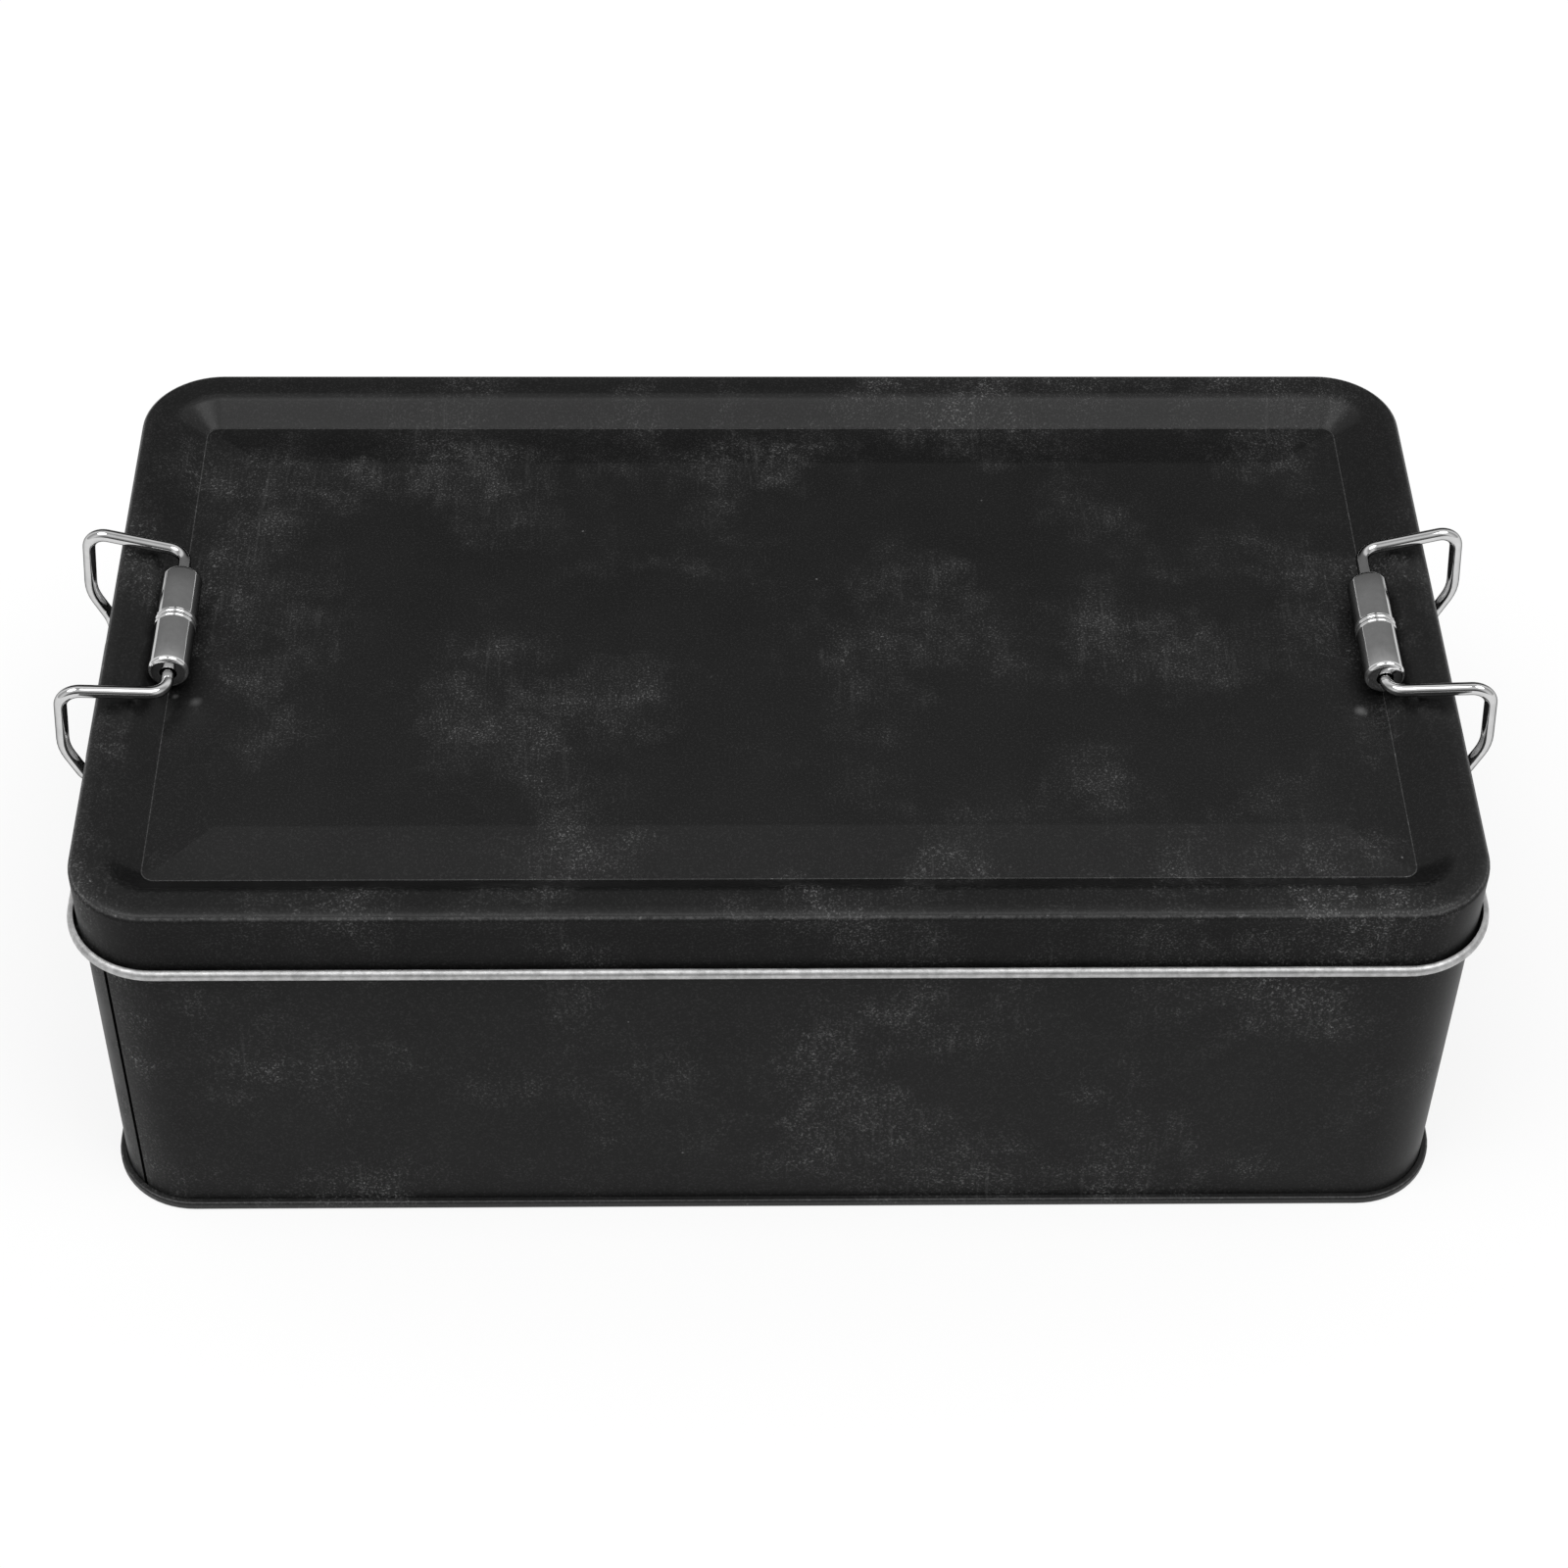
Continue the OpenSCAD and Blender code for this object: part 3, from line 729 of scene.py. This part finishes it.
def seam_away(corner, angle):
    """Distance from the seam in half widths of its groove."""
    return abs(angle - SEAM_ANGLE) / SEAM_HALF_TURN if corner == SEAM_CORNER else math.inf


def seam_dent(corner, angle):
    """Depth of the lock seam's groove at an angle on a corner."""
    return GROOVE_DEEP if seam_away(corner, angle) < GROOVE_FLAT else 0


def seam_shade_finish(corner, angle):
    """Finish inside the groove: near-black paint without gloss, a painted shade where light hardly
    reaches.
    """
    return GROOVE_SHADE if seam_away(corner, angle) < 1 else None


SEAM_POINTS = [SEAM_ANGLE + SEAM_HALF_TURN * k for k in (-1.6, -1, -0.6, 0, 0.6, 1, 1.6)]
WALL_ANGLES = [corner_angles()] * 2 + [corner_angles(SEAM_POINTS)] + [corner_angles()]


def make_wall():
    """Turned-out foot, wall with its seam, and rolled upper edge of one sheet."""
    foot_top = 2 * SHEET + FOLD_GAP
    section = finish([((FOOT_W, foot_top), (0, 1))], PAINTED)
    section += finish(turned(arc((FOOT_R, foot_top + FOOT_R), FOOT_R, 270, 180, 6)), PAINTED)
    section += finish(line((0, foot_top + FOOT_R), (0, BOX_TOP - HEM_R), 14), PAINTED)
    section += finish(arc((-HEM_R, BOX_TOP - HEM_R), HEM_R, 0, HEM_TURN, 26), PAINTED)
    materials = [BODY_PAINT, GROOVE_SHADE_PAINT, TIN]
    piece = sheet_shell("body_shell", section, BOX_HALF, BOX_CORNER, WALL_ANGLES, materials,
                        closed_floor=False, dent=seam_dent, inlay=seam_shade_finish)
    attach(piece, "box")
    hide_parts("body_wall")


def make_seam_fold():
    """The folded layers of the lock seam, inside the front left corner."""
    bm = bmesh.new()
    centre = (-(BOX_HALF[0] - BOX_CORNER), -(BOX_HALF[1] - BOX_CORNER))
    half_turn = math.degrees(SEAM_W / 2 / BOX_CORNER)
    low = BASE_LIFT + SHEET + FOLD_GAP
    high = BOX_TOP - 2 * HEM_R - FOLD_GAP
    inner = BOX_CORNER - SHEET - SEAM_T
    outer = BOX_CORNER - SHEET + SEAM_BITE
    ease = 0.15 * MM
    steps = 10
    rows = []
    for i in range(steps + 1):
        turn = 2 * i / steps - 1
        a = math.radians(180 + SEAM_ANGLE + half_turn * turn)
        near = inner + (ease if i in (0, steps) else 0)
        out = (math.cos(a), math.sin(a))
        outline = (
            (near, low + ease), (near, high - ease), (near + ease, high),
            (outer, high), (outer, low), (near + ease, low),
        )
        rows.append([
            bm.verts.new((centre[0] + r * out[0], centre[1] + r * out[1], z))
            for r, z in outline
        ])
    for a, b in zip(rows, rows[1:]):
        for k in range(len(a)):
            j = (k + 1) % len(a)
            bm.faces.new((a[k], a[j], b[j], b[k]))
    bm.faces.new(rows[0])
    bm.faces.new(rows[-1])
    piece = new_piece("seam_fold", bm, [TIN])
    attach(piece, "box")


def make_base():
    """Base sheet, with its edge rolled over the wall's foot and its floor raised inside."""
    outer = FOOT_W + FOLD_GAP + SHEET
    inner = -2 * SHEET - FOLD_GAP
    r = BASE_EDGE_R
    section = finish([((FOLD_GAP + BASE_LIP_GAP, BASE_SEAM_H), (0, 1))], PAINTED)
    upper = arc((outer - r, BASE_SEAM_H - r), r, 90, 0, 10)
    # The flange's upper rounding is lightened partly as worn paint and partly as a painted glint along
    # its top
    section += finish(upper[:3], PAINTED, wear_and_glint=0.1)
    section += finish(upper[3:5], PAINTED, wear_and_glint=1.0)
    section += finish(upper[5:], PAINTED, wear_and_glint=0.1)
    section += finish(arc((outer - r, r), r, 0, -90, 8), PAINTED, wear_and_glint=0.1)
    section += finish(turned(line((outer - r, 0), (inner + r, 0), 3)), PAINTED)
    section += finish(arc((inner + r, r), r, 270, 180, 6), PAINTED)
    section += finish(turned(line((inner, r), (inner, BASE_LIFT - r), 2)), PAINTED)
    section += finish(turned(arc((inner - r, BASE_LIFT - r), r, 0, 90, 6)), PAINTED)
    angles = [corner_angles()] * 4
    materials = [BASE_PAINT, TIN]
    piece = sheet_shell("base_shell", section, BOX_HALF, BOX_CORNER, angles, materials,
                        closed_floor=True)
    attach(piece, "box")
    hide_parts("base_panel")


# ---- Clasps ----

def make_bail(end, side):
    """Spring wire: two ends in the roller, two arms, two legs and the bar in the knuckle."""
    pivot = Vector(JOINTS[f"bail_{end}_swing"]["pos_m"])
    axle = Vector(JOINTS[f"roller_{end}_spin"]["pos_m"])
    half = [
        Vector((axle.x, WIRE_END, axle.z)),
        Vector((axle.x, ARM_HALF, axle.z)),
        Vector((pivot.x + side * SHOULDER_OUT, SHOULDER_HALF, TIN_H + SHOULDER_RISE)),
        Vector((pivot.x + side * KNEE_OUT, LEG_HALF, pivot.z + KNEE_UP)),
        Vector((pivot.x, LEG_HALF, pivot.z)),
    ]
    points = half + [Vector((p.x, -p.y, p.z)) for p in reversed(half)]
    bends = [BEND_R, BEND_R, KNEE_R, BEND_R]
    bm = bmesh.new()
    tube(bm, rounded_path(points, bends + bends[::-1]), WIRE_R, WIRE_SIDES)
    piece = new_piece(f"bail_wire_{end}", bm, [WIRE_CHROME], sharp=50)
    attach(piece, f"bail_{end}")
    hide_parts(f"bail_{end}")


def sleeve_section(length):
    """Closed section of one sleeve, from the lip at the middle (0) to its rounded outer end."""
    inside = ROLLER_R - SLEEVE_T
    lip_r = LIP_W / 2
    lip_centre = (ROLLER_R + LIP_OUT - lip_r, lip_r)
    lip_end = lip_r * 2.1
    outer = [p for p, n in arc(lip_centre, lip_r, -70, 62, 10)]
    outer += [(ROLLER_R, lip_end), (ROLLER_R, length / 2)]
    end_centre = (ROLLER_R - SLEEVE_R, length - SLEEVE_R)
    outer += [p for p, n in arc(end_centre, SLEEVE_R, 0, 90, 12)]
    hole_centre = (SLEEVE_HOLE_R + SLEEVE_HOLE_EASE, length - SLEEVE_HOLE_EASE)
    outer += [p for p, n in arc(hole_centre, SLEEVE_HOLE_EASE, 90, 180, 5)]
    inner = [(SLEEVE_HOLE_R, length - SLEEVE_T)]
    inner += [p for p, n in arc(end_centre, SLEEVE_R - SLEEVE_T, 90, 0, 6)]
    # The inside edge at the middle is eased
    inner += [(inside, lip_r * 0.4), (inside + LIP_OUT, 0.03 * MM)]
    return outer + inner


def make_roller(end):
    """The front and the rear sleeve of one roller."""
    axle = Vector(JOINTS[f"roller_{end}_spin"]["pos_m"])
    for name, way in (("front", -1), ("rear", 1)):
        cad_node = f"roller_{name}_sleeve_{end}"
        low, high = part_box(cad_node)
        middle = high.y if way < 0 else low.y
        bm = bmesh.new()
        centre = Vector((axle.x, middle, axle.z))
        lathe(bm, sleeve_section(high.y - low.y), centre, (0, way, 0), SLEEVE_SIDES)
        piece = new_piece(f"sleeve_{name}_{end}", bm, [CHROME], sharp=50)
        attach(piece, f"roller_{end}")
        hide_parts(cad_node)


def make_core(end):
    """The tube inside the sleeves on which the wire's ends run."""
    node_name = f"roller_core_{end}"
    low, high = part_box(node_name)
    middle = (low + high) / 2
    half = (high.y - low.y) / 2
    ease = 0.25 * MM
    section = [
        (CORE_R - ease, -half), (CORE_R, ease - half), (CORE_R, half - ease), (CORE_R - ease, half),
        (BORE_R + ease, half), (BORE_R, half - ease), (BORE_R, ease - half), (BORE_R + ease, -half),
    ]
    bm = bmesh.new()
    lathe(bm, section, middle, (0, 1, 0), CORE_SIDES)
    piece = new_piece(f"core_{end}", bm, [CORE_SHADE_STEEL])
    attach(piece, f"roller_{end}")
    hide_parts(node_name)


def make_bracket(end, side):
    """Plate, joggle and knuckle of one strap of sheet."""
    pivot = Vector(JOINTS[f"bail_{end}_swing"]["pos_m"])
    knuckle_r = WIRE_R + WIRE_PLAY + BRACKET_T
    wall_x = BOX_HALF[0]
    gap = abs(pivot.x) - wall_x - knuckle_r
    plate_top = pivot.z - 2 * knuckle_r - BRACKET_T
    low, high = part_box(f"bracket_{end}")
    foot = low.z
    half_t = BRACKET_T / 2
    # The strap's middle line: plate, joggle and knuckle, with more points near the plate's rounded foot
    crowding = 1.4
    middle = [(half_t, foot + (plate_top - foot) * (k / 8) ** crowding) for k in range(9)]
    middle += [(half_t + gap * k / 4, plate_top + gap * k / 4) for k in range(1, 5)]
    centre = (abs(pivot.x) - wall_x, pivot.z)
    middle += [p for p, n in arc(centre, knuckle_r - half_t, 180, 180 - KNUCKLE_TURN, 29)]
    normals = []
    for i, p in enumerate(middle):
        a, b = middle[max(i - 1, 0)], middle[min(i + 1, len(middle) - 1)]
        run = (b[0] - a[0], b[1] - a[1])
        size = math.hypot(*run)
        normals.append((run[1] / size, -run[0] / size))
    bm = bmesh.new()
    across = BRACKET_STEPS
    skins = []
    for way in (1, -1):
        rows = []
        for (x, z), n in zip(middle, normals):
            half_w = BRACKET_W / 2
            above = z - foot
            if above < PLATE_R and x < gap:
                half_w -= PLATE_R - math.sqrt(max(PLATE_R ** 2 - (PLATE_R - above) ** 2, 0))
            skin_x = side * (wall_x + x + way * n[0] * half_t)
            skin_z = z + way * n[1] * half_t
            rows.append([
                bm.verts.new((skin_x, half_w * (2 * j / across - 1), skin_z))
                for j in range(across + 1)
            ])
        skins.append(rows)
        for a, b in zip(rows, rows[1:]):
            for j in range(across):
                bm.faces.new((a[j], a[j + 1], b[j + 1], b[j]))
    outside, inside = skins
    for i in range(len(middle) - 1):
        for j in (0, across):
            bm.faces.new((outside[i][j], outside[i + 1][j], inside[i + 1][j], inside[i][j]))
    for i in (0, len(middle) - 1):
        for j in range(across):
            bm.faces.new((outside[i][j], outside[i][j + 1], inside[i][j + 1], inside[i][j]))
    bmesh.ops.recalc_face_normals(bm, faces=bm.faces)
    sharp = [e for e in bm.edges if e.calc_face_angle(0) > math.radians(60)]
    bmesh.ops.bevel(bm, geom=sharp, offset=BRACKET_EDGE_R, segments=2, profile=0.5, affect="EDGES")
    piece = new_piece(f"bracket_strap_{end}", bm, [CHROME])
    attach(piece, "box")
    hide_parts(f"bracket_{end}")


def make_rivets(end, side):
    """Two rivets with domed heads outside and flat set ends inside."""
    low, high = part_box(f"bracket_rivets_{end}")
    height = (low.z + high.z) / 2
    wall_x = BOX_HALF[0]
    dome_r = (RIVET_HEAD_R ** 2 + RIVET_HEAD_H ** 2) / (2 * RIVET_HEAD_H)
    reach = math.degrees(math.asin(RIVET_HEAD_R / dome_r))
    tail_end = -SHEET - RIVET_TAIL_H
    section = [(0, tail_end), (RIVET_TAIL_R - RIVET_TAIL_EASE, tail_end)]
    section += [(RIVET_TAIL_R, tail_end + RIVET_TAIL_EASE), (RIVET_TAIL_R, -SHEET), (RIVET_R, -SHEET)]
    section += [(RIVET_R, BRACKET_T), (RIVET_HEAD_R, BRACKET_T)]
    heart = BRACKET_T + RIVET_HEAD_H - dome_r
    dome_steps = 10
    for k in range(1, dome_steps + 1):
        a = math.radians(reach * (1 - k / dome_steps))
        section.append((dome_r * math.sin(a), heart + dome_r * math.cos(a)))
    bm = bmesh.new()
    for y in (-RIVET_PITCH / 2, RIVET_PITCH / 2):
        lathe(bm, section, Vector((side * wall_x, y, height)), (side, 0, 0), RIVET_SIDES)
    bmesh.ops.remove_doubles(bm, verts=bm.verts, dist=MERGE)
    bmesh.ops.dissolve_degenerate(bm, edges=bm.edges, dist=MERGE / 10)
    piece = new_piece(f"rivets_{end}", bm, [STEEL])
    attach(piece, "box")
    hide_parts(f"bracket_rivets_{end}")


make_lid()
make_wall()
make_seam_fold()
make_base()
for end, side in (("left", -1), ("right", 1)):
    make_bail(end, side)
    make_roller(end)
    make_core(end)
    make_bracket(end, side)
    make_rivets(end, side)

view = bpy.context.scene.view_settings
view.view_transform = "Standard"
